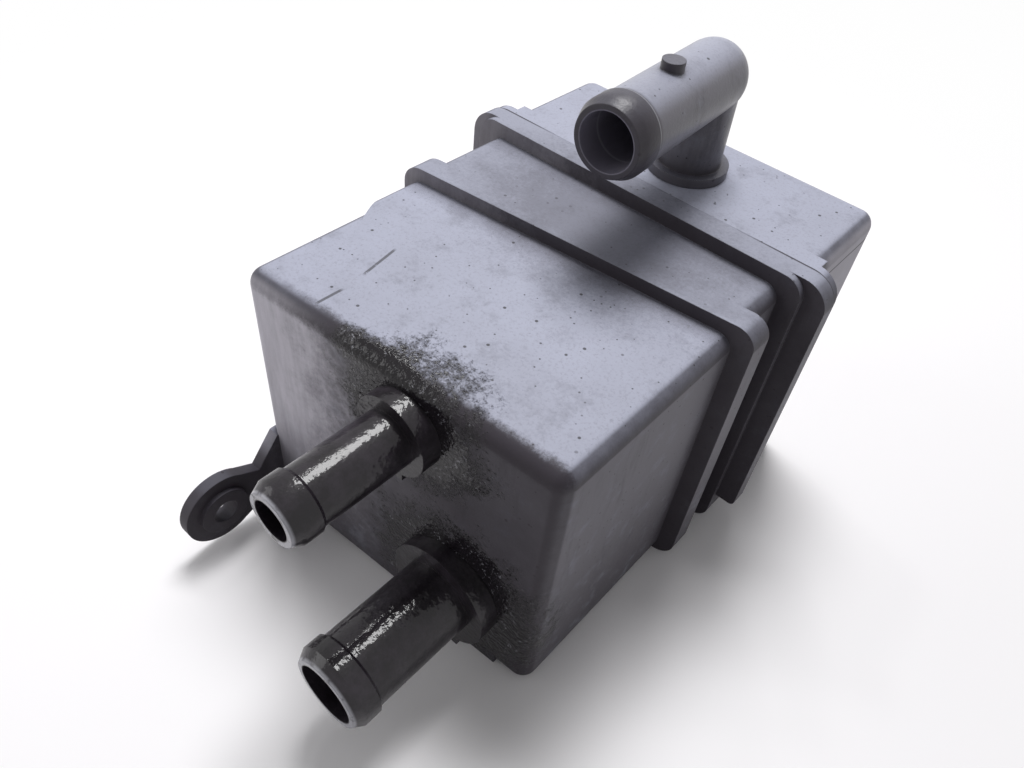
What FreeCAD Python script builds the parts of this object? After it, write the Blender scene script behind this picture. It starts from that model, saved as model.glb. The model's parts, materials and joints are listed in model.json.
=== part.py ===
"""Crankcase oil separator: a welded plastic box with two hose stubs, an outlet elbow and inner baffles.

Frame: millimetres, +Z up, +Y from the hose stubs to the outlet end, +X to the right of the stub face.
The origin is the centre of the housing's bottom face.
"""
import FreeCAD, Part
import Sketcher
import os
from FreeCAD import Vector

doc = FreeCAD.newDocument("oil_separator")
sheet = doc.addObject("Spreadsheet::Sheet", "dims")

# Driving dimensions in millimetres: alias, value, meaning
DIMENSIONS = [
    ("wall", 2.6, "wall thickness of both housing shells"),
    ("housing_length", 150, "stub face to outlet end, on the middle line"),
    ("outlet_depth", 43.9, "length of the outlet housing behind the weld"),
    ("box_width", 110, "width of the inlet box"),
    ("box_height", 101.5, "height of the inlet box"),
    ("first_step", 4.3, "rise of the top at the first band"),
    ("second_step", 4.8, "rise of the top at the second band"),
    ("edge_radius", 5, "rounding of the outer box edges"),
    ("front_skew", 7, "how much further back the right end of the stub face lies"),
    ("panel_rise", 3.2, "thickness of the raised panel on the left wall"),
    ("panel_start", 47.5, "stub face to the foot of the panel's ramp"),
    ("panel_ramp", 6, "length of the panel's ramp"),
    ("band_reach", 6, "how far both bands stand out of the side walls"),
    ("band_radius", 6.5, "rounding of the bands' upper corners"),
    ("first_band_back", 68.7, "stub face to the first band, on the middle line"),
    ("first_band_skew", 12.3, "how much further back the band's right end lies"),
    ("first_band_thick", 8.5, "length of the first band along the box"),
    ("second_band_thick", 2.6, "length of the second band in front of the flange"),
    ("flange_reach", 6, "how far the weld flange's ears stand out of the bands"),
    ("flange_shift", 1, "shift of the weld flange to the right"),
    ("flange_thick", 6.1, "thickness of the inlet housing's flange"),
    ("flange_radius", 8.5, "rounding of the flange's upper corners"),
    ("flange_foot", 13, "height of the flange ears' lower ends"),
    ("flange_foot_radius", 2, "rounding of the flange ears' lower corners"),
    ("cover_flange_thick", 3, "thickness of the outlet housing's flange"),
    ("seam_step", 0.6, "how far the outlet housing's flange stays inside the other"),
    ("outlet_overhang", 4.9, "how far the outlet housing stands out of the box's right wall"),
    ("rim_thick", 3.6, "length of the square rim behind the outlet flange"),
    ("ear_thick", 4, "thickness of the mounting ear"),
    ("ear_reach", 23.6, "stub face's left edge to the ear hole"),
    ("ear_height", 17.5, "height of the ear hole"),
    ("ear_radius", 13.2, "outer radius of the ear's head"),
    ("ear_neck_low", 14, "height of the neck's lower edge at the box"),
    ("ear_neck_high", 35, "height of the neck's upper edge at the box"),
    ("ear_neck_dip", 24.4, "height of the dip in the neck's upper edge"),
    ("ear_dip_reach", 8.7, "stub face's left edge to the dip"),
    ("ear_boss_radius", 8.5, "radius of the raised rim round the ear hole"),
    ("ear_boss_rise", 1.6, "height of that rim"),
    ("ear_hole_radius", 4.2, "radius of the ear hole"),
    ("foot_width", 22, "width of the small foot under the large stub"),
    ("foot_from_right", 12, "right wall to that foot"),
    ("foot_height", 5.5, "height of that foot"),
    ("foot_depth", 6, "length of that foot along the box"),
    ("small_stub_x", 6.15, "small stub axis from the middle"),
    ("small_stub_drop", 17.3, "top of the inlet box to the small stub's axis"),
    ("small_stub_length", 41.7, "stub face to the small stub's mouth"),
    ("small_barrel_radius", 8.5, "small stub barrel"),
    ("small_bead_radius", 9.2, "small stub bead"),
    ("small_mouth_radius", 7.6, "small stub outer edge of the mouth"),
    ("small_bore_radius", 5.8, "small stub bore"),
    ("small_collar_radius", 12.3, "small stub weld collar"),
    ("small_lug_width", 9, "small stub locating lug"),
    ("small_lug_drop", 1.5, "how far the lug reaches below the collar"),
    ("large_stub_x", 24, "large stub axis from the middle"),
    ("large_stub_lift", 26.5, "bottom to the large stub's axis"),
    ("large_stub_length", 47.2, "stub face to the large stub's mouth"),
    ("large_barrel_radius", 12.3, "large stub barrel"),
    ("large_bead_radius", 13.3, "large stub bead"),
    ("large_mouth_radius", 11.3, "large stub outer edge of the mouth"),
    ("large_bore_radius", 9.6, "large stub bore"),
    ("large_collar_radius", 18, "large stub weld collar"),
    ("large_lug_width", 18, "large stub locating lug"),
    ("large_lug_drop", 0.8, "how far the lug reaches below the collar"),
    ("collar_thick", 5.5, "thickness of both stub collars on the axis"),
    ("bead_lead", 3.2, "length of the beads' lead-in cone"),
    ("bead_land", 5, "length of the beads' cylindrical land"),
    ("bead_back", 0.9, "length of the beads' rear shoulder"),
    ("spigot_wall", 1.6, "wall of the spigots inside the port holes"),
    ("spigot_clearance", 0.15, "radial gap between spigot and port hole"),
    ("elbow_x", 4.2, "elbow riser axis from the middle"),
    ("elbow_back", 17.7, "weld seam to the elbow riser axis"),
    ("elbow_turn", 3.4, "turn of the elbow's mouth to the right, in degrees"),
    ("elbow_rise", 29.9, "housing top to the elbow tube's axis"),
    ("elbow_length", 55.5, "riser axis to the elbow's mouth"),
    ("elbow_tube_radius", 10.8, "elbow tube"),
    ("elbow_bead_radius", 11.3, "elbow bead"),
    ("elbow_mouth_radius", 9.9, "elbow outer edge of the mouth"),
    ("elbow_bore_radius", 8.2, "elbow bore"),
    ("riser_base_radius", 10.2, "riser at its collar"),
    ("riser_top_radius", 9.6, "riser at the tube's axis"),
    ("elbow_collar_radius", 13, "elbow weld collar"),
    ("elbow_collar_thick", 3, "thickness of that collar"),
    ("nub_radius", 3.3, "nub on top of the elbow tube"),
    ("nub_rise", 2.4, "height of the nub above the tube"),
    ("nub_reach", 27, "riser axis to the nub"),
    ("baffle_thick", 2, "thickness of both baffles"),
    ("baffle_clearance", 0.2, "gap round the baffles in their seats"),
    ("baffle_ledge", 3.5, "how far the perforated baffle reaches under the outlet housing's rim"),
    ("splash_back", 36, "stub face to the splash baffle"),
    ("splash_gap", 26, "housing floor to the splash baffle's lower edge"),
    ("rail_depth", 3, "how far the splash baffle's rails stand out"),
    ("rail_thick", 2, "thickness of each rail"),
    ("baffle_hole_radius", 3.5, "holes in the perforated baffle"),
    ("baffle_hole_pitch", 16, "spacing of those holes"),
    ("baffle_hole_low", 52, "height of the lowest row of holes"),
]
BAFFLE_ROWS = 3
BAFFLE_COLUMNS = 6
STUB_HEIGHTS = {"small": "( box_height - small_stub_drop )", "large": "large_stub_lift"}

for row, (alias, number, meaning) in enumerate(DIMENSIONS, 1):
    sheet.set(f"A{row}", meaning)
    sheet.set(f"B{row}", str(number))
    sheet.setAlias(f"B{row}", alias)
doc.recompute()


def size(text):
    """A formula over the sheet's aliases, such as 'box_width / 2', as an expression on the sheet."""
    words = {alias for alias, _, _ in DIMENSIONS}
    parts = text.replace("(", " ( ").replace(")", " ) ").split()
    return " ".join(f"dims.{word}" if word in words else word for word in parts)


def value(text):
    """The number that a formula over the sheet gives."""
    return float(sheet.evalExpression(size(text)))


# Reference planes as formulas over the sheet
FRONT = "( 0 - housing_length / 2 )"
FRONT_LEFT = "( 0 - housing_length / 2 - front_skew / 2 )"
FRONT_RIGHT = "( 0 - housing_length / 2 + front_skew / 2 )"
REAR = "( housing_length / 2 )"
WELD = "( housing_length / 2 - outlet_depth )"
LEFT = "( 0 - box_width / 2 )"
RIGHT = "( box_width / 2 )"
STEP_TOP = "( box_height + first_step )"
TOP = "( box_height + first_step + second_step )"
BAND_LEFT = f"( {FRONT} + first_band_back - first_band_skew / 2 )"
BAND_RIGHT = f"( {FRONT} + first_band_back + first_band_skew / 2 )"
FLANGE_FRONT = f"( {WELD} - flange_thick )"
SECOND_BAND = f"( {WELD} - flange_thick - second_band_thick )"
BAND_START = f"( {LEFT} - band_reach )"
BAND_END = f"( {RIGHT} + band_reach )"
OUTLET_LEFT = LEFT
OUTLET_RIGHT = f"( {RIGHT} + outlet_overhang )"
FLANGE_LEFT = f"( {BAND_START} - flange_reach + flange_shift )"
FLANGE_RIGHT = f"( {BAND_END} + flange_reach + flange_shift )"
BAFFLE_LEFT = f"( {OUTLET_LEFT} + wall - baffle_ledge )"
BAFFLE_RIGHT = f"( {OUTLET_RIGHT} - wall + baffle_ledge )"
BAFFLE_LOW = "( flange_foot + wall )"
SPLASH = f"( {FRONT} + splash_back )"

# World axis of each origin plane's normal, and whether that normal points along it
PLANES = {"XY_Plane": 1, "XZ_Plane": -1, "YZ_Plane": 1}


def new_body(label):
    body = doc.addObject("PartDesign::Body", label)
    body.Label = label
    return body


def new_sketch(body, plane, at):
    """A sketch on one of the body's own origin planes, moved along the world axis to 'at'."""
    sketch = body.newObject("Sketcher::SketchObject", "outline")
    support = next(item for item in body.Origin.OriginFeatures if item.Role == plane)
    sketch.AttachmentSupport = (support, "")
    sketch.MapMode = "FlatFace"
    sketch.setExpression("AttachmentOffset.Base.z", size(f"{PLANES[plane]} * ( {at} )"))
    return sketch


def bind(sketch, kind, geometry, point, text):
    """Hold one coordinate of a sketch point, measured from the origin, at a formula's value."""
    index = sketch.addConstraint(Sketcher.Constraint(kind, -1, 1, geometry, point, value(text)))
    sketch.setExpression(f"Constraints[{index}]", size(text))


def polygon(body, plane, at, corners):
    """A closed outline with straight sides; each corner is a pair of formulas."""
    sketch = new_sketch(body, plane, at)
    points = [Vector(value(u), value(v), 0) for u, v in corners]
    for start, end in zip(points, points[1:] + points[:1]):
        sketch.addGeometry(Part.LineSegment(start, end))
    for index, (u, v) in enumerate(corners):
        following = (index + 1) % len(corners)
        sketch.addConstraint(Sketcher.Constraint("Coincident", index, 2, following, 1))
        bind(sketch, "DistanceX", index, 1, u)
        bind(sketch, "DistanceY", index, 1, v)
    return sketch


def rectangle(body, plane, at, low_u, high_u, low_v, high_v):
    return polygon(body, plane, at, [(low_u, low_v), (high_u, low_v), (high_u, high_v), (low_u, high_v)])


def circle(body, plane, at, u, v, radius):
    sketch = new_sketch(body, plane, at)
    sketch.addGeometry(Part.Circle(Vector(value(u), value(v), 0), Vector(0, 0, 1), value(radius)))
    bind(sketch, "DistanceX", 0, 3, u)
    bind(sketch, "DistanceY", 0, 3, v)
    index = sketch.addConstraint(Sketcher.Constraint("Radius", 0, value(radius)))
    sketch.setExpression(f"Constraints[{index}]", size(radius))
    return sketch


def pad(body, name, plane, low, high, draw, *outline):
    """Add material from 'low' to 'high' along the plane's world axis."""
    feature = body.newObject("PartDesign::Pad", name)
    feature.Profile = draw(body, plane, low, *outline)
    feature.Reversed = PLANES[plane] < 0
    feature.setExpression("Length", size(f"{high} - ( {low} )"))
    doc.recompute()
    return feature


def pocket(body, name, plane, low, high, draw, *outline):
    """Cut from 'low' to 'high' along the plane's world axis."""
    feature = body.newObject("PartDesign::Pocket", name)
    feature.Profile = draw(body, plane, low, *outline)
    feature.Reversed = PLANES[plane] > 0
    feature.setExpression("Length", size(f"{high} - ( {low} )"))
    before = feature.BaseFeature.Shape.Volume
    doc.recompute()
    if feature.Shape.isNull() or feature.Shape.Volume >= before:
        raise RuntimeError(f"{body.Label}: {name} cuts nothing")
    return feature


def revolve(body, name, plane, at, corners):
    """Turn an outline about its sketch's vertical axis."""
    sketch = polygon(body, plane, at, corners)
    feature = body.newObject("PartDesign::Revolution", name)
    feature.Profile = sketch
    feature.ReferenceAxis = (sketch, ["V_Axis"])
    feature.Angle = 360
    doc.recompute()
    return feature


def near(first, second):
    return abs(first - second) < 0.01


def runs_at(**places):
    """A test for edges that lie wholly at the given coordinates, such as x='box_width / 2'."""
    wanted = {axis: value(text) for axis, text in places.items()}

    def test(edge):
        points = [vertex.Point for vertex in edge.Vertexes] + [edge.CenterOfMass]
        return all(near(getattr(point, axis), place) for point in points for axis, place in wanted.items())
    return test


def dress(kind, body, name, amount, *tests):
    """Round or bevel the edges of the body's last feature that pass any of the tests."""
    doc.recompute()
    base = body.Tip
    edges = [f"Edge{index}" for index, edge in enumerate(base.Shape.Edges, 1)
             if any(test(edge) for test in tests)]
    feature = body.newObject(f"PartDesign::{kind}", name)
    feature.Base = (base, edges)
    feature.setExpression("Radius" if kind == "Fillet" else "Size", size(amount))
    doc.recompute()
    return feature


def front_at(x):
    """The stub face's place along Y at a formula's X."""
    return f"( {FRONT} + front_skew / box_width * ( {x} ) )"


def join(body, name, block):
    """Fuse a block, a body that was rounded by itself, into a body."""
    feature = body.newObject("PartDesign::Boolean", name)
    feature.setObjects([block])
    feature.Type = "Fuse"
    doc.recompute()


def make_box(body):
    """Inlet box with its slanted stub face and the raised panel on its left wall."""
    pad(body, "box", "XY_Plane", "0", "box_height", polygon, [
        (LEFT, FRONT_LEFT), (RIGHT, FRONT_RIGHT), (RIGHT, WELD), (LEFT, WELD)])
    at_weld = runs_at(y=WELD)
    dress("Fillet", body, "box_edges", "edge_radius", lambda edge: not at_weld(edge))
    outer = f"( {LEFT} - panel_rise )"
    inset = "( edge_radius * 1.2 )"
    inner = f"( {LEFT} + {inset} )"
    foot = f"( {FRONT_LEFT} + panel_start )"
    end = f"( {BAND_LEFT} + first_band_thick / 2 )"
    panel = new_body("left_panel")
    pad(panel, "slab", "XY_Plane", "0", "box_height", polygon, [
        (inner, f"{foot} - panel_ramp / panel_rise * {inset}"), (outer, f"{foot} + panel_ramp"),
        (outer, end), (inner, end)])
    dress("Fillet", panel, "slab_edges", "edge_radius",
          runs_at(x=outer, z="box_height"), runs_at(x=outer, z="0"))
    join(body, "left_panel_joined", panel)


def make_bands(body):
    """Raised middle section, its slanted first band, the square second band and the weld flange."""
    half = "first_band_thick / 2"
    pad(body, "raised_section", "XY_Plane", "box_height / 2", STEP_TOP, polygon, [
        (LEFT, f"{BAND_LEFT} + {half}"), (RIGHT, f"{BAND_RIGHT} + {half}"), (RIGHT, WELD), (LEFT, WELD)])
    dress("Fillet", body, "section_edges", "edge_radius",
          runs_at(x=LEFT, z=STEP_TOP), runs_at(x=RIGHT, z=STEP_TOP))
    pad(body, "first_band", "XY_Plane", "0", STEP_TOP, polygon, [
        (BAND_START, BAND_LEFT), (BAND_END, BAND_RIGHT),
        (BAND_END, f"{BAND_RIGHT} + first_band_thick"), (BAND_START, f"{BAND_LEFT} + first_band_thick")])
    dress("Fillet", body, "first_band_corners", "band_radius",
          *[runs_at(x=x, z=z) for x in (BAND_START, BAND_END) for z in ("0", STEP_TOP)])
    pad(body, "second_band", "XZ_Plane", SECOND_BAND, WELD, rectangle, BAND_START, BAND_END, "0", TOP)
    dress("Fillet", body, "second_band_corners", "band_radius",
          *[runs_at(x=x, z=z) for x in (BAND_START, BAND_END) for z in ("0", TOP)])
    pad(body, "flange", "XZ_Plane", FLANGE_FRONT, WELD, rectangle,
        FLANGE_LEFT, FLANGE_RIGHT, "flange_foot", TOP)
    round_flange(body, FLANGE_LEFT, FLANGE_RIGHT)


def round_flange(body, start, end):
    """Round the four free corners of a weld flange's ears."""
    dress("Fillet", body, "flange_corners", "flange_radius", *[runs_at(x=x, z=TOP) for x in (start, end)])
    dress("Fillet", body, "flange_feet", "flange_foot_radius",
          *[runs_at(x=x, z="flange_foot") for x in (start, end)])


def make_ear(body):
    """Flat mounting ear in the plane of the left wall, with a raised rim round its hole."""
    centre = f"( {FRONT_LEFT} - ear_reach )"
    face = f"( {LEFT} + ear_thick )"
    rim = f"( {face} + ear_boss_rise )"
    root = f"( {FRONT_LEFT} + edge_radius * 2 )"
    pad(body, "ear_neck", "YZ_Plane", LEFT, face, polygon, [
        (root, "ear_neck_low"), (root, "ear_neck_high"), (FRONT_LEFT, "ear_neck_high"),
        (f"{FRONT_LEFT} - ear_dip_reach", "ear_neck_dip"),
        (f"{centre} + ear_radius * 0.3", "ear_height + ear_radius * 0.95"), (centre, "ear_height"),
        (f"{centre} + ear_radius * 0.36", "ear_height - ear_radius * 0.93"), (FRONT_LEFT, "ear_neck_low")])
    pad(body, "ear_head", "YZ_Plane", LEFT, face, circle, centre, "ear_height", "ear_radius")
    pad(body, "ear_rim", "YZ_Plane", LEFT, rim, circle, centre, "ear_height", "ear_boss_radius")
    pocket(body, "ear_hole", "YZ_Plane", f"{LEFT} - wall", f"{rim} + wall", circle,
           centre, "ear_height", "ear_hole_radius")


def make_foot(body):
    """Small square foot that fills the rounded lower edge below the large stub."""
    end = f"( {RIGHT} - foot_from_right )"
    start = f"( {end} - foot_width )"
    pad(body, "foot", "XY_Plane", "0", "foot_height", polygon, [
        (start, front_at(start)), (end, front_at(end)),
        (end, f"{front_at(end)} + foot_depth"), (start, f"{front_at(start)} + foot_depth")])


def make_cavity(body):
    """Hollow inside of the inlet housing, stepped like its top, with the perforated baffle's seat."""
    left, right = f"( {LEFT} + wall )", f"( {RIGHT} - wall )"
    pocket(body, "cavity", "XY_Plane", "wall", "box_height - wall", polygon, [
        (left, f"{FRONT_LEFT} + wall"), (right, f"{FRONT_RIGHT} + wall"), (right, WELD), (left, WELD)])
    pocket(body, "section_cavity", "XY_Plane", "box_height - wall * 2", f"{STEP_TOP} - wall", polygon, [
        (left, f"{BAND_LEFT} + wall"), (right, f"{BAND_RIGHT} + wall"), (right, WELD), (left, WELD)])
    pocket(body, "flange_cavity", "XZ_Plane", f"{SECOND_BAND} + wall", WELD, rectangle,
           left, right, f"{STEP_TOP} - wall * 2", f"{TOP} - wall")
    pocket(body, "baffle_seat", "XZ_Plane", f"{WELD} - baffle_thick", WELD, rectangle,
           BAFFLE_LEFT, BAFFLE_RIGHT, BAFFLE_LOW, f"{TOP} - wall")


def make_rails(body):
    """Two rails on each side wall, with a stop between them, that hold the splash baffle."""
    half_slot = "( baffle_thick / 2 + baffle_clearance )"
    front = f"( {SPLASH} - {half_slot} - rail_thick )"
    back = f"( {SPLASH} + {half_slot} )"
    sides = [(f"( {LEFT} + wall * 0.75 )", f"( {LEFT} + wall + rail_depth )"),
             (f"( {RIGHT} - wall - rail_depth )", f"( {RIGHT} - wall * 0.75 )")]
    for low, high in sides:
        for start in (front, back):
            pad(body, "rail", "XY_Plane", "wall * 0.75", "box_height - wall * 0.75", rectangle,
                low, high, start, f"{start} + rail_thick")
        pad(body, "rail_stop", "XY_Plane", "wall * 0.75", "splash_gap", rectangle,
            low, high, front, f"{back} + rail_thick")


def make_inlet_housing():
    body = new_body("inlet_housing")
    make_box(body)
    make_bands(body)
    make_ear(body)
    make_foot(body)
    make_cavity(body)
    make_rails(body)
    for label, height in STUB_HEIGHTS.items():
        pocket(body, f"{label}_port", "XZ_Plane", f"{FRONT_LEFT} - wall", f"{FRONT_RIGHT} + wall * 2", circle,
               f"{label}_stub_x", height, f"{label}_bore_radius + spigot_wall + spigot_clearance")
    return body


def make_outlet_housing():
    """Rear shell with its thin flange, the square rim behind it and the elbow's port."""
    body = new_body("outlet_housing")
    pad(body, "box", "XZ_Plane", WELD, REAR, rectangle, OUTLET_LEFT, OUTLET_RIGHT, "0", TOP)
    at_weld = runs_at(y=WELD)
    dress("Fillet", body, "box_edges", "edge_radius", lambda edge: not at_weld(edge))
    pad(body, "rim", "XZ_Plane", WELD, f"{WELD} + cover_flange_thick + rim_thick", rectangle,
        OUTLET_LEFT, OUTLET_RIGHT, "0", TOP)
    start, end = f"( {FLANGE_LEFT} + seam_step )", f"( {FLANGE_RIGHT} - seam_step )"
    pad(body, "flange", "XZ_Plane", WELD, f"{WELD} + cover_flange_thick", rectangle,
        start, end, "flange_foot", TOP)
    round_flange(body, start, end)
    pocket(body, "cavity", "XZ_Plane", WELD, f"{REAR} - wall", rectangle,
           f"{OUTLET_LEFT} + wall", f"{OUTLET_RIGHT} - wall", "wall", f"{TOP} - wall")
    pocket(body, "elbow_port", "XY_Plane", f"{TOP} - wall * 2", f"{TOP} + wall", circle,
           "elbow_x", f"{WELD} + elbow_back", "elbow_bore_radius + spigot_wall + spigot_clearance")
    return body


def place(body, x, y, z):
    """Move a finished body to its seat."""
    for axis, text in zip("xyz", (x, y, z)):
        body.setExpression(f"Placement.Base.{axis}", size(text))


def bead_outline(length, mouth, bead, barrel):
    """Half section of a hose end: mouth edge, lead-in cone, land and rear shoulder, down to the barrel."""
    start = f"( 0 - {length} )"
    land = f"( {start} + bead_lead )"
    shoulder = f"( {land} + bead_land )"
    return [("0", start), (mouth, start), (bead, land), (bead, shoulder), (barrel, f"{shoulder} + bead_back")]


def make_stub(label, height):
    """Hose stub with a weld collar that follows the slanted stub face, and a spigot inside the port hole."""
    body = new_body(f"{label}_hose_stub")
    collar, bore, barrel = f"{label}_collar_radius", f"{label}_bore_radius", f"{label}_barrel_radius"
    slant = "front_skew / box_width"
    back = f"( {collar} * {slant} )"
    length = f"{label}_stub_length"
    revolve(body, "barrel", "XY_Plane", "0", [
        *bead_outline(length, f"{label}_mouth_radius", f"{label}_bead_radius", barrel),
        (barrel, "0 - collar_thick"), (collar, "0 - collar_thick"), (collar, back), ("0", back)])
    side = f"( {label}_lug_width / 2 )"
    pad(body, "lug", "XZ_Plane", "0 - collar_thick", back, rectangle,
        f"0 - {side}", side, f"0 - {collar} - {label}_lug_drop", f"0 - {barrel}")
    reach = f"( {collar} * 2 )"
    pocket(body, "seat", "XY_Plane", f"0 - {reach}", reach, polygon, [
        (f"0 - {reach}", f"0 - {reach} * {slant}"), (reach, f"{reach} * {slant}"),
        (reach, reach), (f"0 - {reach}", reach)])
    pad(body, "spigot", "XZ_Plane", "0 - collar_thick / 2", "wall", circle, "0", "0", f"{bore} + spigot_wall")
    pocket(body, "bore", "XZ_Plane", f"0 - {length} - wall", "wall * 2", circle, "0", "0", bore)
    place(body, f"{label}_stub_x", front_at(f"{label}_stub_x"), height)
    return body


def make_elbow():
    """Outlet elbow: beaded tube with a domed end, riser, weld collar, spigot and the nub on top."""
    body = new_body("outlet_elbow")
    tube, bore, rise = "elbow_tube_radius", "elbow_bore_radius", "elbow_rise"
    revolve(body, "tube", "XY_Plane", rise, [
        *bead_outline("elbow_length", "elbow_mouth_radius", "elbow_bead_radius", tube),
        (tube, "0"), ("0", "0")])
    dome = body.newObject("PartDesign::AdditiveSphere", "dome")
    dome.setExpression("Radius", size(tube))
    dome.setExpression("Placement.Base.z", size(rise))
    spigot = f"( {bore} + spigot_wall )"
    revolve(body, "riser", "XZ_Plane", "0", [
        ("0", "0 - wall"), (spigot, "0 - wall"), (spigot, "0"), ("elbow_collar_radius", "0"),
        ("elbow_collar_radius", "elbow_collar_thick"), ("riser_base_radius", "elbow_collar_thick"),
        ("riser_top_radius", rise), ("0", rise)])
    pad(body, "nub", "XY_Plane", rise, f"{rise} + {tube} + nub_rise", circle,
        "0", "0 - nub_reach", "nub_radius")
    pocket(body, "tube_bore", "XZ_Plane", "0 - elbow_length - wall", f"{bore} / 2", circle, "0", rise, bore)
    pocket(body, "riser_bore", "XY_Plane", "0 - wall * 2", rise, circle, "0", "0", bore)
    body.setExpression("Placement.Rotation.Angle", size("elbow_turn"))
    place(body, "elbow_x", f"{WELD} + elbow_back", TOP)
    return body


def make_splash_baffle():
    """Plain plate behind the stubs that turns the gas down towards the floor."""
    body = new_body("splash_baffle")
    pad(body, "plate", "XZ_Plane", f"{SPLASH} - baffle_thick / 2", f"{SPLASH} + baffle_thick / 2", rectangle,
        f"{LEFT} + wall + baffle_clearance", f"{RIGHT} - wall - baffle_clearance",
        "splash_gap", "box_height - wall - baffle_clearance")
    return body


def hole_grid(body, plane, at):
    """Sketch with the rows of holes of the perforated baffle."""
    sketch = new_sketch(body, plane, at)
    for row in range(BAFFLE_ROWS):
        for column in range(BAFFLE_COLUMNS):
            u = f"baffle_hole_pitch * {column - (BAFFLE_COLUMNS - 1) / 2}"
            v = f"baffle_hole_low + baffle_hole_pitch * {row}"
            hole = sketch.addGeometry(
                Part.Circle(Vector(value(u), value(v), 0), Vector(0, 0, 1), value("baffle_hole_radius")))
            bind(sketch, "DistanceX", hole, 3, u)
            bind(sketch, "DistanceY", hole, 3, v)
            index = sketch.addConstraint(Sketcher.Constraint("Radius", hole, value("baffle_hole_radius")))
            sketch.setExpression(f"Constraints[{index}]", size("baffle_hole_radius"))
    return sketch


def make_perforated_baffle():
    """Plate with rows of holes, clamped between both housings at the weld."""
    body = new_body("perforated_baffle")
    front = f"( {WELD} - baffle_thick )"
    pad(body, "plate", "XZ_Plane", front, WELD, rectangle,
        f"{BAFFLE_LEFT} + baffle_clearance", f"{BAFFLE_RIGHT} - baffle_clearance",
        BAFFLE_LOW, f"{TOP} - wall - baffle_clearance")
    pocket(body, "holes", "XZ_Plane", front, WELD, hole_grid)
    return body


SUBPARTS = [make_inlet_housing(), make_outlet_housing(),
            *[make_stub(label, height) for label, height in STUB_HEIGHTS.items()],
            make_elbow(), make_splash_baffle(), make_perforated_baffle()]
doc.recompute()

for item in doc.Objects:
    if "Invalid" in item.State or "Error" in item.State:
        raise RuntimeError(f"{item.Name} failed: {item.State}")
for body in SUBPARTS:
    if body.Shape.isNull() or not body.Shape.isValid():
        raise RuntimeError(f"{body.Label} has no valid shape")
os.makedirs("parts", exist_ok=True)
for body in SUBPARTS:
    body.Shape.exportStep(f"parts/{body.Label}.step")
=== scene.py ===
"""Looks, light and camera for the crankcase oil separator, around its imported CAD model.

Units are metres in the part's frame: +Z up, +Y from the hose stubs to the rear wall, +X to the right.
"""
import json
import math

import bpy
from mathutils import Matrix, Vector


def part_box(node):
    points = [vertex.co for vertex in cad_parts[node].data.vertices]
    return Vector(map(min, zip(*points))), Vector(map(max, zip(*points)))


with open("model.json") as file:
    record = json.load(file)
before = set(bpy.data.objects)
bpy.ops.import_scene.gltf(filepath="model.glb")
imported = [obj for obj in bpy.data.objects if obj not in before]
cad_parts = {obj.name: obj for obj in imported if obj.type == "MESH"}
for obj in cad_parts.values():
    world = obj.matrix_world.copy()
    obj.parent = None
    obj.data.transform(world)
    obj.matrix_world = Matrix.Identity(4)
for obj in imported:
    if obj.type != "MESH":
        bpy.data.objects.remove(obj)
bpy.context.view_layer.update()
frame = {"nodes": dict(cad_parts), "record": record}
nodes = frame["nodes"]
mounts = {mount["name"]: mount for mount in frame["record"]["mounts"]}

# Camera of the photograph: its place, the directions of the picture's right and upper sides, and its lens
CAMERA_PLACE = Vector((0.10815, -0.1682, 0.2437))
CAMERA_RIGHT = Vector((0.741, 0.665, 0.088))
CAMERA_UP = Vector((-0.525, 0.494, 0.6931))
CAMERA_CLIP = 0.01
SENSOR_WIDTH_MM = 36
PHOTO_WIDTH_PX = 1024
FOCAL_LENGTH_PX = 814

# Lamps: name, place, point aimed at, side and power in watts
LAMPS = [
    ("overhead", (-0.17, 0.24, 0.93), (0, 0, 0.05), 0.34, 7.6),
    ("fill", (-0.75, -0.65, 0.45), (0, 0, 0.05), 0.6, 2.5),
    ("glint", (-0.5, 0.2, 0.9), (0, -0.05, 0.06), 0.08, 0.45),
]

# Strength of the white surroundings: as light on the part, and where they are seen
SKY_LIGHT = 0.27
SKY_SEEN = 1.0

# Floor: it turns white by the given share, between two distances from the frame's origin
FLOOR_SIDE = 6
FLOOR_COLOUR = (0.93, 0.915, 0.935, 1)
FLOOR_ROUGHNESS = 0.6
FLOOR_WHITENS = (0.15, 0.46)
FLOOR_WHITE_SHARE = 0.94

# Colours, linear
FILM = (0.145, 0.14, 0.16, 1)
# Smudges, and painted shade on the top behind the band
SMUDGE_AND_SHADE = (0.2, 0.205, 0.25, 1)
# The elbow's bore: painted light in its shade
BORE_PAINTED_LIGHT = (0.16, 0.15, 0.19, 1)
# Dust on what faces up, with a painted sheen of the light from above
DUST_AND_SHEEN = (0.37, 0.383, 0.475, 1)
# Pale dust and painted light: the stub face's left end and the outlet's right wall
PALE_DUST_AND_LIGHT = (0.52, 0.5, 0.56, 1)
BLACK = (0.025, 0.02, 0.027, 1)
WET = (0.008, 0.006, 0.0085, 1)
SPECK = (0.03, 0.028, 0.03, 1)
# Pale wear; also painted highlights: glints in the oil and the elbow bead's back edge
WORN_AND_HIGHLIGHT = (0.36, 0.36, 0.4, 1)

# Places taken from the frame
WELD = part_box("outlet_housing")[0].y
OUTLET_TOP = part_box("outlet_housing")[1].z

# Places that the frame doesn't name, as in the part's source; each slope is y over x
BOX_TOP = 0.1015
STUB_FACE = -0.075
FRONT_SLOPE = 7 / 110
BAND_SLOPE = 12.3 / 110
OUTLET_RIGHT = 0.0599
NUB_DEPTH = 0.0285

# Places of paint alone: where the ear turns black, and the parting line on the outlet's right wall
EAR_START = -0.081
PARTING_HEIGHT = 0.1025

# Where masks start and where they are full: heights
LOW_ON_WALLS = (0.08, 0.01)
LIGHT_AND_DUST_UP = (0.01, 0.06)
PALE_UP = (0.01, 0.09)
RISER_FOOT = (OUTLET_TOP + 0.018, OUTLET_TOP + 0.003)

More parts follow.
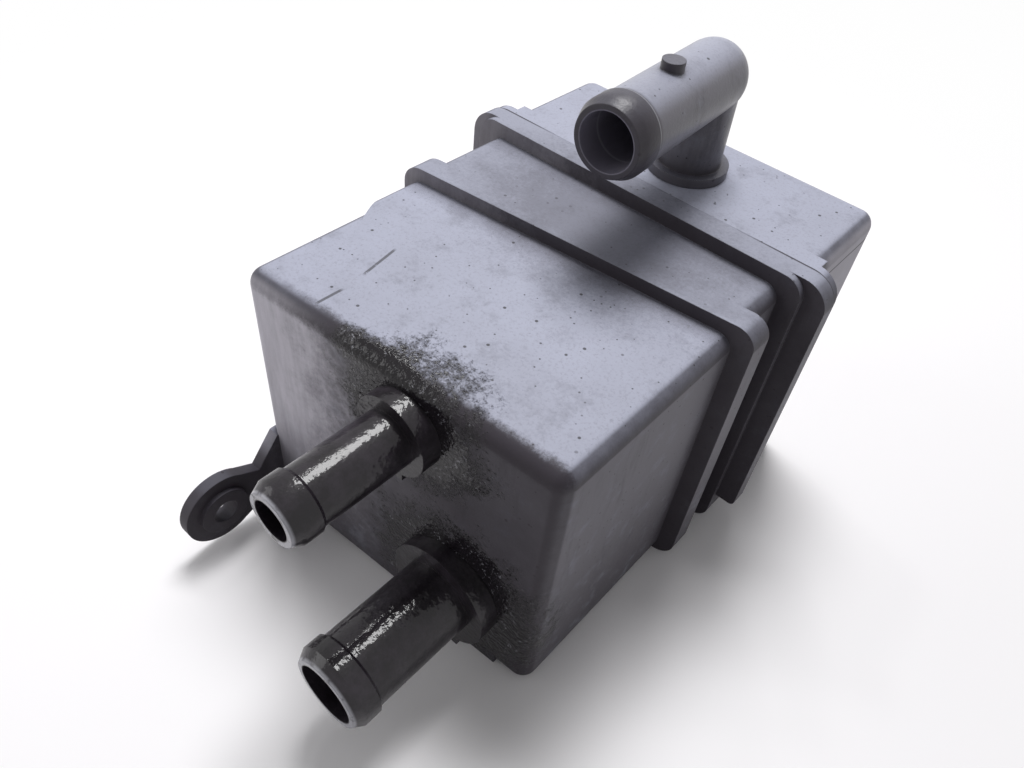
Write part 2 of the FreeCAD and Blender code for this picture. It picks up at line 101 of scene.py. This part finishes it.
# Where masks start and where they are full: across the part, or along it
LIGHT_AND_DUST_ACROSS = (-0.004, -0.04)
OIL_ACROSS = (-0.042, 0.022)
EDGE_GRIME_ACROSS = (-0.05, -0.015)
SEAM_ACROSS = (0.03, 0.05)
ON_RIGHT_WALL = (OUTLET_RIGHT - 0.002, OUTLET_RIGHT - 0.001)
EAR = (EAR_START, EAR_START - 0.004)
BEHIND_STUB_FACE = (STUB_FACE + 0.012, STUB_FACE + 0.02)
PAST_BAND = (-0.0075, -0.0055)
BEHIND_FLANGE = (WELD + 0.006, WELD + 0.012)

# Where masks start and where they are full: distance from an edge, a line or an axis
EDGE_GRIME = (0.0062, 0.0028)
SEAM_LINE = (0.00045, 0.0002)
PARTING_LINE = (0.0005, 0.0002)
NUB_OUTSIDE = (0.0109, 0.0111)

# Where masks start and where they are full: depth behind a mouth, and for the nub from its own depth
STUB_RIM = (0.0011, 0.0003)
ELBOW_BEAD = (0.0105, 0.0085)
BEAD_EDGE_FRONT = (0.0078, 0.0082)
BEAD_EDGE_BACK = (0.009, 0.0084)
NUB_LENGTH = (0.0046, 0.0042)

# A bore's paint changes over between these distances outside its wall, and fades out this far past its end
BORE_WALL = (0.0001, 0.0004)
BORE_END = 0.001

# How far ragged edges wander; a patch's by shares of its size
EDGE_GRIME_WANDER = 0.004
OIL_WANDER = 0.03
PATCH_FINE_WANDER = 0.6
PATCH_COARSE_WANDER = 0.5

# Painted shade on the forward faces behind the stub face, and black on the ear, as shares
BEHIND_SHADE = 0.75
EAR_BLACK = 0.85

# Two scratches on the inlet box's top, seen in the photograph: start and end, as x and y
SCRATCHES = [((-0.0298, -0.0735), (-0.0297, -0.0631)), ((-0.0306, -0.0564), (-0.0336, -0.0408))]
SCRATCH_HALF_WIDTH = 0.0003
SCRATCH_TAPER = 0.002

# Wet oil: centre, size along each axis
OIL_PATCHES = [
    ((0.008, -0.077, 0.086), (0.024, 0.02, 0.02)),
    ((0.002, -0.0765, 0.0995), (0.021, 0.0085, 0.009)),
    ((0.027, -0.0735, 0.027), (0.03, 0.02, 0.03)),
]
# Soft painted shadow of the elbow with dark grime, on the panel before the flange, under the elbow: centre,
# size along each axis
ELBOW_SHADOW_AND_GRIME_CENTRE = (0.002, 0.0075, 0.105)
ELBOW_SHADOW_AND_GRIME_SIZE = (0.042, 0.024, 0.02)

# Fine shape given by the materials: rounding of edges, reach of the dirt and painted shade in inner corners,
# and depth of the relief
EDGE_RADIUS = 0.0006
CORNER_REACH = 0.008
HOUSING_RELIEF = 0.00006
STUB_RELIEF = 0.00012
STUB_FILM_RELIEF = 0.00016
ELBOW_RELIEF = 0.00008
BAFFLE_RELIEF = 0.0001

# Height of the oil beads, against the grain's
OIL_BEAD_HEIGHT = 6.0

# Share of open sky at which a place is no corner, and at which it is a full one
OPEN_SKY = 0.93
CORNER_SKY = 0.58

# Samples that find corners and rounded edges
SHADER_SAMPLES = 4

# Specks: share of the radius that is fully dark, and share of the specks drawn in full
SPECK_CORE = 0.6
SPECK_FULL = 0.8

# Stretch of the streaks down the walls: all round, and the slimmer ones on faces towards the stubs
STREAK_DOWN = (1, 1, 0.2)
SLIM_STREAK_DOWN = (1, 1, 0.15)

# Smooth shading of the CAD meshes
MERGE_DISTANCE = 1e-6
SHARP_ANGLE = math.radians(28)


class Graph:
    """Short calls that build one material's nodes."""

    def __init__(self, name):
        self.material = bpy.data.materials.new(name)
        self.material.use_nodes = True
        self.tree = self.material.node_tree
        self.shader = self.tree.nodes["Principled BSDF"]
        self.place = self.add("ShaderNodeTexCoord").outputs["Object"]
        self.x, self.y, self.z = self.split(self.place)
        normal = self.add("ShaderNodeNewGeometry").outputs["Normal"]
        self.facing_x, self.facing_y, self.facing_z = self.split(normal)

    def add(self, kind, **settings):
        node = self.tree.nodes.new(kind)
        for key, setting in settings.items():
            setattr(node, key, setting)
        return node

    def put(self, socket, source):
        """Link a socket to another one, or set its value."""
        if isinstance(source, bpy.types.NodeSocket):
            self.tree.links.new(source, socket)
        else:
            socket.default_value = source

    def split(self, vector):
        """The three numbers of a vector."""
        node = self.add("ShaderNodeSeparateXYZ")
        self.put(node.inputs[0], vector)
        return node.outputs

    def math(self, operation, *sources):
        node = self.add("ShaderNodeMath", operation=operation)
        for socket, source in zip(node.inputs, sources):
            self.put(socket, source)
        return node.outputs[0]

    def vector(self, operation, *sources):
        """Vector arithmetic; a length or a dot product is a number."""
        node = self.add("ShaderNodeVectorMath", operation=operation)
        for socket, source in zip(node.inputs, sources):
            self.put(socket, source)
        return node.outputs["Value" if operation in ("LENGTH", "DOT_PRODUCT") else "Vector"]

    def times(self, *sources):
        result = sources[0]
        for source in sources[1:]:
            result = self.math("MULTIPLY", result, source)
        return result

    def most(self, *sources):
        result = sources[0]
        for source in sources[1:]:
            result = self.math("MAXIMUM", result, source)
        return result

    def distance(self, first, second):
        """How far two numbers lie apart."""
        return self.math("ABSOLUTE", self.math("SUBTRACT", first, second))

    def ramp(self, source, low, high):
        """0 where the source is at 'low', 1 at 'high', smooth between them; 'low' may be the larger."""
        node = self.add("ShaderNodeMapRange", interpolation_type="SMOOTHSTEP")
        backwards = low > high
        self.put(node.inputs["Value"], source)
        self.put(node.inputs["From Min"], min(low, high))
        self.put(node.inputs["From Max"], max(low, high))
        self.put(node.inputs["To Min"], 1.0 if backwards else 0.0)
        self.put(node.inputs["To Max"], 0.0 if backwards else 1.0)
        return node.outputs["Result"]

    def level(self, share, first, second):
        """A number between two numbers."""
        node = self.add("ShaderNodeMapRange")
        self.put(node.inputs["Value"], share)
        self.put(node.inputs["To Min"], first)
        self.put(node.inputs["To Max"], second)
        return node.outputs["Result"]

    def noise(self, size, detail=4.0, roughness=0.6, stretch=(1, 1, 1)):
        """Noise of about the given feature size, from 0 to 1."""
        node = self.add("ShaderNodeTexNoise")
        mapping = self.add("ShaderNodeMapping")
        self.put(mapping.inputs["Vector"], self.place)
        self.put(mapping.inputs["Scale"], stretch)
        self.put(node.inputs["Vector"], mapping.outputs[0])
        self.put(node.inputs["Scale"], 1 / size)
        self.put(node.inputs["Detail"], detail)
        self.put(node.inputs["Roughness"], roughness)
        return node.outputs["Fac"]

    def specks(self, spacing, radius, share):
        """Small round spots in the given share of cells."""
        node = self.add("ShaderNodeTexVoronoi")
        self.put(node.inputs["Vector"], self.place)
        self.put(node.inputs["Scale"], 1 / spacing)
        spot = self.ramp(node.outputs["Distance"], radius / spacing, SPECK_CORE * radius / spacing)
        chance = self.add("ShaderNodeSeparateColor")
        self.put(chance.inputs[0], node.outputs["Color"])
        return self.times(spot, self.ramp(chance.outputs[0], 1 - share, 1 - SPECK_FULL * share))

    def corner(self, reach):
        """1 deep in an inner corner, 0 where nothing stands within the given reach."""
        node = self.add("ShaderNodeAmbientOcclusion", samples=SHADER_SAMPLES, only_local=True)
        self.put(node.inputs["Distance"], reach)
        return self.ramp(node.outputs["AO"], OPEN_SKY, CORNER_SKY)

    def patch(self, centre, size, softness=0.2):
        """Blob: 1 at its centre, 0 beyond about its size, with a ragged edge."""
        offset = self.vector("SUBTRACT", self.place, centre)
        away = self.vector("LENGTH", self.vector("DIVIDE", offset, size))
        fine = self.level(self.noise(size=0.0012, roughness=0.8), -PATCH_FINE_WANDER, PATCH_FINE_WANDER)
        coarse = self.level(self.noise(size=0.007), -PATCH_COARSE_WANDER, PATCH_COARSE_WANDER)
        ragged = self.math("ADD", away, self.math("ADD", fine, coarse))
        return self.ramp(ragged, 1.0 + softness, 1.0 - softness)

    def mix(self, share, first, second):
        node = self.add("ShaderNodeMix", data_type="RGBA")
        self.put(node.inputs["Factor"], share)
        colours = [socket for socket in node.inputs if socket.type == "RGBA"]
        self.put(colours[0], first)
        self.put(colours[1], second)
        return next(socket for socket in node.outputs if socket.type == "RGBA")

    def cover(self, colour, paint, *masks, strength=1.0):
        """Lay a paint over a colour, where every mask is 1."""
        return self.mix(self.times(*masks, strength), colour, paint)

    def bump(self, height, depth):
        """Bump node for a relief of the given depth."""
        node = self.add("ShaderNodeBump")
        self.put(node.inputs["Height"], height)
        self.put(node.inputs["Distance"], depth)
        return node

    def finish(self, colour, roughness, height, depth, gloss=0.3):
        """Wire colour, roughness and a fine bump over slightly rounded edges into the shader."""
        edge = self.add("ShaderNodeBevel", samples=SHADER_SAMPLES)
        self.put(edge.inputs["Radius"], EDGE_RADIUS)
        bump = self.bump(height, depth)
        self.put(bump.inputs["Normal"], edge.outputs[0])
        self.put(self.shader.inputs["Base Color"], colour)
        self.put(self.shader.inputs["Roughness"], roughness)
        self.put(self.shader.inputs["Specular IOR Level"], gloss)
        self.put(self.shader.inputs["Normal"], bump.outputs[0])
        return self.material


def grain_of(graph):
    """Fine moulded texture."""
    return graph.noise(size=0.0009, detail=3, roughness=0.7)


def rounded_edges(graph):
    """Rounded edges, by where they face: those round the top, and the upright ones."""
    top = graph.times(graph.ramp(graph.facing_z, 0.03, 0.15), graph.ramp(graph.facing_z, 0.975, 0.86))
    between_walls = graph.math("ABSOLUTE", graph.times(graph.facing_x, graph.facing_y))
    return graph.most(top, graph.ramp(between_walls, 0.12, 0.34))


def dust_sheen_and_shade(graph, lowest=0.15, share=1.0, edges=0.75):
    """Grey-black moulding: dust and a painted sheen on what faces up, a dull film elsewhere, sides darker
    towards the bottom, black rubbed edges, dirt and painted shade in inner corners, specks.
    """
    upward = graph.ramp(graph.facing_z, lowest, 0.97)
    sides = graph.math("SUBTRACT", 1.0, upward)
    clouds = graph.level(graph.noise(size=0.03, detail=5), 0.66 * share, 1.16 * share)
    # Dust and a painted sheen on what faces up; the sides keep the dull film
    colour = graph.mix(graph.times(upward, clouds), FILM, DUST_AND_SHEEN)
    streaks = graph.ramp(graph.noise(size=0.01, detail=5, roughness=0.7, stretch=STREAK_DOWN), 0.5, 0.8)
    colour = graph.cover(colour, BLACK, sides, streaks, strength=0.6)
    colour = graph.cover(colour, BLACK, sides, graph.ramp(graph.z, *LOW_ON_WALLS), strength=0.68)
    smudges = graph.ramp(graph.noise(size=0.009, detail=6, roughness=0.72), 0.5, 0.72)
    colour = graph.cover(colour, SMUDGE_AND_SHADE, smudges, strength=0.5)
    thin_spots = graph.ramp(graph.noise(size=0.0009, detail=3, roughness=0.8), 0.5, 0.68)
    colour = graph.cover(colour, FILM, thin_spots, strength=0.26)
    rubbing = graph.level(graph.noise(size=0.006, detail=6, roughness=0.75), 0.55, 1.2)
    rubbed = graph.times(rounded_edges(graph), rubbing, edges)
    dirt = graph.level(graph.noise(size=0.008, detail=5, roughness=0.7), 0.55, 1.1)
    # Dirt and painted shade in inner corners, found by ambient occlusion; laid on in black with the rubbed
    # edges
    corner_shade_and_grime = graph.times(graph.corner(CORNER_REACH), dirt)
    colour = graph.cover(colour, BLACK, graph.most(rubbed, corner_shade_and_grime))
    large_specks = graph.specks(spacing=0.006, radius=0.0006, share=0.8)
    small_specks = graph.specks(spacing=0.0028, radius=0.00034, share=0.5)
    return graph.cover(colour, SPECK, graph.most(large_specks, small_specks), strength=0.85)


def front_edge(graph):
    """Grime along the front top edge, thinner towards its left end."""
    face = graph.math("MULTIPLY_ADD", graph.x, FRONT_SLOPE, STUB_FACE)
    behind = graph.math("SUBTRACT", graph.y, face)
    above = graph.math("SUBTRACT", graph.z, BOX_TOP)
    away = graph.math("SQRT", graph.math("ADD", graph.times(behind, behind), graph.times(above, above)))
    rough = graph.noise(size=0.003, detail=8, roughness=0.85)
    ragged = graph.math("ADD", away, graph.level(rough, -EDGE_GRIME_WANDER, EDGE_GRIME_WANDER))
    thickness = graph.level(graph.ramp(graph.x, *EDGE_GRIME_ACROSS), 0.35, 0.95)
    return graph.times(graph.ramp(ragged, *EDGE_GRIME), thickness)


def front_oil_light_and_shade(graph, colour):
    """Faces towards the stubs are dark with oil, apart from the stub face's left end, painted pale with light
    and dust; forward faces behind the stub face take painted shade; the ear is black.
    """
    forward = graph.ramp(graph.facing_y, -0.55, -0.9)
    blotches = graph.noise(size=0.011, detail=6, roughness=0.75)
    across = graph.math("ADD", graph.x, graph.level(blotches, -OIL_WANDER, OIL_WANDER))
    # The stub face's left end: painted light and pale dust, in streaks
    painted_light_and_dust = graph.times(forward, graph.ramp(across, *LIGHT_AND_DUST_ACROSS), graph.ramp(graph.z, *LIGHT_AND_DUST_UP))
    streaks = graph.noise(size=0.005, detail=6, roughness=0.75, stretch=SLIM_STREAK_DOWN)
    colour = graph.cover(colour, PALE_DUST_AND_LIGHT, painted_light_and_dust, graph.level(streaks, 0.2, 1.25))
    # Forward faces behind the stub face, the fronts of the bands and the flange, take painted shade; with the
    # oil along the front it is laid on in black
    behind = graph.times(graph.ramp(graph.y, *BEHIND_STUB_FACE), BEHIND_SHADE)
    oil = graph.most(graph.ramp(across, *OIL_ACROSS), behind)
    dark = graph.times(forward, oil, graph.level(graph.noise(size=0.02), 0.55, 1.0))
    ear = graph.times(graph.ramp(graph.y, *EAR), EAR_BLACK)
    return graph.cover(colour, BLACK, graph.most(dark, ear))


def scratch(graph, start, end):
    """Mask of a thin line on the inlet box's top."""
    slope = (end[0] - start[0]) / (end[1] - start[1])
    run = graph.math("MULTIPLY_ADD", graph.y, slope, start[0] - slope * start[1])
    line = graph.ramp(graph.distance(graph.x, run), 2 * SCRATCH_HALF_WIDTH, SCRATCH_HALF_WIDTH)
    front = graph.ramp(graph.y, start[1], start[1] + SCRATCH_TAPER)
    back = graph.ramp(graph.y, end[1], end[1] - SCRATCH_TAPER)
    broken = graph.ramp(graph.noise(size=0.002), 0.3, 0.42)
    return graph.times(line, front, back, graph.ramp(graph.facing_z, 0.9, 0.98), broken)


def seam(graph):
    """Dark weld line between the flanges, faded out in the middle of the top."""
    line = graph.ramp(graph.distance(graph.y, WELD), *SEAM_LINE)
    outer = graph.ramp(graph.math("ABSOLUTE", graph.x), *SEAM_ACROSS)
    return graph.times(line, graph.most(outer, graph.ramp(graph.facing_z, 0.8, 0.4)))


def make_inlet_material():
    """Inlet housing with dust and a painted sheen on top, black with wet, gritty oil round the stubs, painted
    glints in the oil, and painted shade with dirt behind the band and under the elbow.
    """
    graph = Graph("inlet_plastic")
    colour = front_oil_light_and_shade(graph, dust_sheen_and_shade(graph))
    # The top behind the band painted darker: dirt and painted shade under the elbow
    past_band = graph.ramp(graph.math("MULTIPLY_ADD", graph.x, -BAND_SLOPE, graph.y), *PAST_BAND)
    colour = graph.cover(colour, SMUDGE_AND_SHADE, past_band, graph.ramp(graph.facing_z, 0.7, 0.95), strength=0.4)
    colour = graph.cover(colour, BLACK, front_edge(graph))
    for start, end in SCRATCHES:
        colour = graph.cover(colour, SPECK, scratch(graph, start, end), strength=0.75)
    colour = graph.cover(colour, BLACK, seam(graph), strength=0.9)
    # Painted shadow of the elbow on the panel, with dark grime
    colour = graph.cover(colour, BLACK, graph.patch(ELBOW_SHADOW_AND_GRIME_CENTRE, ELBOW_SHADOW_AND_GRIME_SIZE, softness=0.6), strength=0.42)
    wet = graph.most(*[graph.patch(centre, size) for centre, size in OIL_PATCHES])
    colour = graph.cover(colour, WET, wet)
    # Pale flecks in the wet oil: gritty dirt and painted glints
    pale_flecks = graph.ramp(graph.noise(size=0.0013, roughness=0.8), 0.58, 0.66)
    fleck_clusters = graph.ramp(graph.noise(size=0.008), 0.4, 0.55)
    colour = graph.cover(colour, WORN_AND_HIGHLIGHT, wet, graph.times(pale_flecks, fleck_clusters), strength=0.75)
    beads = graph.noise(size=0.0018, detail=2, roughness=0.55)
    height = graph.math("ADD", grain_of(graph), graph.times(wet, beads, OIL_BEAD_HEIGHT))
    return graph.finish(colour, graph.level(wet, 0.6, 0.1), height, HOUSING_RELIEF, gloss=0.28)


def make_outlet_material():
    """Outlet housing with dust and a painted sheen on top, a right wall painted pale with painted light and
    dust, and a parting line across it.
    """
    graph = Graph("outlet_plastic")
    colour = front_oil_light_and_shade(graph, dust_sheen_and_shade(graph))
    colour = graph.cover(colour, BLACK, seam(graph), strength=0.9)
    clouds = graph.level(graph.noise(size=0.02, detail=5, roughness=0.7), 0.4, 1.0)
    # The right wall painted pale: painted light and pale dust, in clouds
    right_wall = graph.times(graph.ramp(graph.facing_x, 0.6, 0.95), clouds)
    behind_flange = graph.ramp(graph.y, *BEHIND_FLANGE)
    colour = graph.cover(colour, PALE_DUST_AND_LIGHT, right_wall, behind_flange, graph.ramp(graph.z, *PALE_UP), strength=0.8)
    line = graph.ramp(graph.distance(graph.z, PARTING_HEIGHT), *PARTING_LINE)
    colour = graph.cover(colour, BLACK, line, graph.ramp(graph.x, *ON_RIGHT_WALL), strength=0.8)
    roughness = graph.level(graph.noise(size=0.02), 0.55, 0.7)
    return graph.finish(colour, roughness, grain_of(graph), HOUSING_RELIEF)


def bore_sizes(mount):
    """Radius and length of a bore, in metres."""
    return mount["dims"]["r_mm"] / 1000, mount["dims"]["length_mm"] / 1000


def bore_depth(graph, mount):
    """Distance from a bore's axis, and distance behind its mouth."""
    axis = Vector(mount["axis"])
    length = bore_sizes(mount)[1]
    mouth = Vector(mount["pos_m"]) + axis * length / 2
    offset = graph.vector("SUBTRACT", graph.place, tuple(mouth))
    depth = graph.vector("DOT_PRODUCT", offset, tuple(-axis))
    radius = graph.vector("LENGTH", graph.vector("CROSS_PRODUCT", offset, tuple(axis)))
    return radius, depth


def make_stub_material(label):
    """Black stub under a wet, gritty oil film, with a worn pale edge round its mouth."""
    graph = Graph(f"{label}_stub_plastic")
    mount = mounts[f"{label}_stub_bore"]
    bore_radius = bore_sizes(mount)[0]
    radius, depth = bore_depth(graph, mount)
    film = graph.ramp(graph.noise(size=0.008, detail=6, roughness=0.7), 0.3, 0.62)
    colour = graph.mix(film, BLACK, WET)
    pale_flecks = graph.ramp(graph.noise(size=0.0012, detail=6, roughness=0.8), 0.6, 0.72)
    colour = graph.cover(colour, FILM, pale_flecks, graph.ramp(graph.facing_z, 0.2, 0.8), strength=0.2)
    outside = graph.ramp(radius, *[bore_radius + wall for wall in BORE_WALL])
    broken = graph.ramp(graph.noise(size=0.004), 0.3, 0.5)
    colour = graph.cover(colour, WORN_AND_HIGHLIGHT, outside, graph.ramp(depth, *STUB_RIM), broken, strength=0.8)
    film_bump = graph.bump(graph.noise(size=0.0017, detail=2, roughness=0.5), STUB_FILM_RELIEF)
    graph.put(graph.shader.inputs["Coat Normal"], film_bump.outputs[0])
    graph.put(graph.shader.inputs["Coat Weight"], 0.5)
    graph.put(graph.shader.inputs["Coat Roughness"], 0.07)
    roughness = graph.level(graph.noise(size=0.003, detail=5, roughness=0.7), 0.3, 0.55)
    fine = graph.noise(size=0.0011, detail=3, roughness=0.5)
    coarse = graph.noise(size=0.006, detail=2, roughness=0.5)
    return graph.finish(colour, roughness, graph.math("ADD", fine, coarse), STUB_RELIEF, gloss=0.1)


def make_elbow_material():
    """Elbow with dust and a painted sheen on top, a black bead and nub, a dark riser foot, a painted
    highlight on the bead's worn back edge, and a bore painted grey as painted light.
    """
    graph = Graph("elbow_plastic")
    mount = mounts["elbow_bore"]
    bore_radius, bore_length = bore_sizes(mount)
    radius, depth = bore_depth(graph, mount)
    colour = dust_sheen_and_shade(graph, lowest=0.55, share=0.78, edges=0.0)
    colour = graph.cover(colour, BLACK, graph.ramp(graph.z, *RISER_FOOT), strength=0.5)
    clouds = graph.level(graph.noise(size=0.008, detail=5, roughness=0.7), 0.7, 1.0)
    colour = graph.cover(colour, BLACK, graph.ramp(depth, *ELBOW_BEAD), clouds)
    # The bore painted grey: painted light inside it
    inside = graph.ramp(radius, *[bore_radius + wall for wall in reversed(BORE_WALL)])
    colour = graph.cover(colour, BORE_PAINTED_LIGHT, inside, graph.ramp(depth, bore_length + BORE_END, bore_length))
    nub = graph.ramp(graph.distance(depth, NUB_DEPTH), *NUB_LENGTH)
    colour = graph.cover(colour, BLACK, graph.ramp(radius, *NUB_OUTSIDE), nub, strength=0.7)
    # A pale ring on the bead's back edge: wear and a painted highlight
    edge = graph.times(graph.ramp(depth, *BEAD_EDGE_FRONT), graph.ramp(depth, *BEAD_EDGE_BACK))
    colour = graph.cover(colour, WORN_AND_HIGHLIGHT, edge, strength=0.5)
    roughness = graph.level(graph.noise(size=0.015), 0.22, 0.5)
    return graph.finish(colour, roughness, grain_of(graph), ELBOW_RELIEF, gloss=0.28)


def make_baffle_material():
    """Black baffle under an oil film."""
    graph = Graph("baffle_plastic")
    film = graph.ramp(graph.noise(size=0.02, detail=5, roughness=0.7), 0.35, 0.65)
    roughness = graph.level(graph.noise(size=0.008), 0.25, 0.5)
    return graph.finish(graph.mix(film, BLACK, WET), roughness, grain_of(graph), BAFFLE_RELIEF)


def dress(name, material):
    """Give a CAD node its material and smooth shading between sharp edges."""
    node = nodes[name]
    node.data.materials.clear()
    node.data.materials.append(material)
    node.data.shade_smooth()
    node.modifiers.new("weld", "WELD").merge_threshold = MERGE_DISTANCE
    node.modifiers.new("sharp_edges", "EDGE_SPLIT").split_angle = SHARP_ANGLE


def seen_directly(tree):
    """1 for what the camera sees, also in a reflection or through a clear piece, and 0 for other light."""
    path = tree.nodes.new("ShaderNodeLightPath")
    seen = path.outputs["Is Camera Ray"]
    for name in ("Is Glossy Ray", "Is Transmission Ray"):
        either = tree.nodes.new("ShaderNodeMath")
        either.operation = "MAXIMUM"
        tree.links.new(seen, either.inputs[0])
        tree.links.new(path.outputs[name], either.inputs[1])
        seen = either.outputs[0]
    return seen


def make_floor():
    """Plain pale floor that keeps the object's soft shadow, and is white further out."""
    bpy.ops.mesh.primitive_plane_add(size=FLOOR_SIDE)
    floor = bpy.context.object
    floor.name = "floor"
    graph = Graph("pale_floor")
    graph.put(graph.shader.inputs["Base Color"], FLOOR_COLOUR)
    graph.put(graph.shader.inputs["Roughness"], FLOOR_ROUGHNESS)
    away = graph.vector("LENGTH", graph.place)
    white = graph.level(graph.ramp(away, *FLOOR_WHITENS), 0.0, FLOOR_WHITE_SHARE)
    glow = graph.add("ShaderNodeEmission")
    blend = graph.add("ShaderNodeMixShader")
    graph.put(blend.inputs["Fac"], graph.times(seen_directly(graph.tree), white))
    graph.put(blend.inputs[1], graph.shader.outputs[0])
    graph.put(blend.inputs[2], glow.outputs[0])
    graph.put(graph.tree.nodes["Material Output"].inputs["Surface"], blend.outputs[0])
    floor.data.materials.append(graph.material)


def make_world():
    """Soft light all round; white to the camera and in reflections."""
    world = bpy.data.worlds.new("studio")
    bpy.context.scene.world = world
    world.use_nodes = True
    tree = world.node_tree
    background = tree.nodes["Background"]
    background.inputs["Color"].default_value = (1, 1, 1, 1)
    strength = tree.nodes.new("ShaderNodeMapRange")
    tree.links.new(seen_directly(tree), strength.inputs["Value"])
    strength.inputs["To Min"].default_value = SKY_LIGHT
    strength.inputs["To Max"].default_value = SKY_SEEN
    tree.links.new(strength.outputs["Result"], background.inputs["Strength"])


def make_lamp(name, place, aim, side, power):
    light = bpy.data.lights.new(name, "AREA")
    light.size = side
    light.energy = power
    lamp = bpy.data.objects.new(name, light)
    lamp.location = place
    lamp.rotation_euler = (Vector(aim) - Vector(place)).to_track_quat("-Z", "Y").to_euler()
    bpy.context.scene.collection.objects.link(lamp)


def make_camera():
    right = CAMERA_RIGHT.normalized()
    back = right.cross(CAMERA_UP).normalized()
    up = back.cross(right)
    data = bpy.data.cameras.new("camera")
    data.sensor_width = SENSOR_WIDTH_MM
    data.lens = SENSOR_WIDTH_MM * FOCAL_LENGTH_PX / PHOTO_WIDTH_PX
    data.clip_start = CAMERA_CLIP
    camera = bpy.data.objects.new("camera", data)
    camera.matrix_world = Matrix.Translation(CAMERA_PLACE) @ Matrix((right, up, back)).transposed().to_4x4()
    bpy.context.scene.collection.objects.link(camera)
    bpy.context.scene.camera = camera


baffle_material = make_baffle_material()
dress("inlet_housing", make_inlet_material())
dress("outlet_housing", make_outlet_material())
dress("small_hose_stub", make_stub_material("small"))
dress("large_hose_stub", make_stub_material("large"))
dress("outlet_elbow", make_elbow_material())
dress("splash_baffle", baffle_material)
dress("perforated_baffle", baffle_material)

make_floor()
make_world()
for lamp_values in LAMPS:
    make_lamp(*lamp_values)
make_camera()
bpy.context.scene.view_settings.view_transform = "Standard"
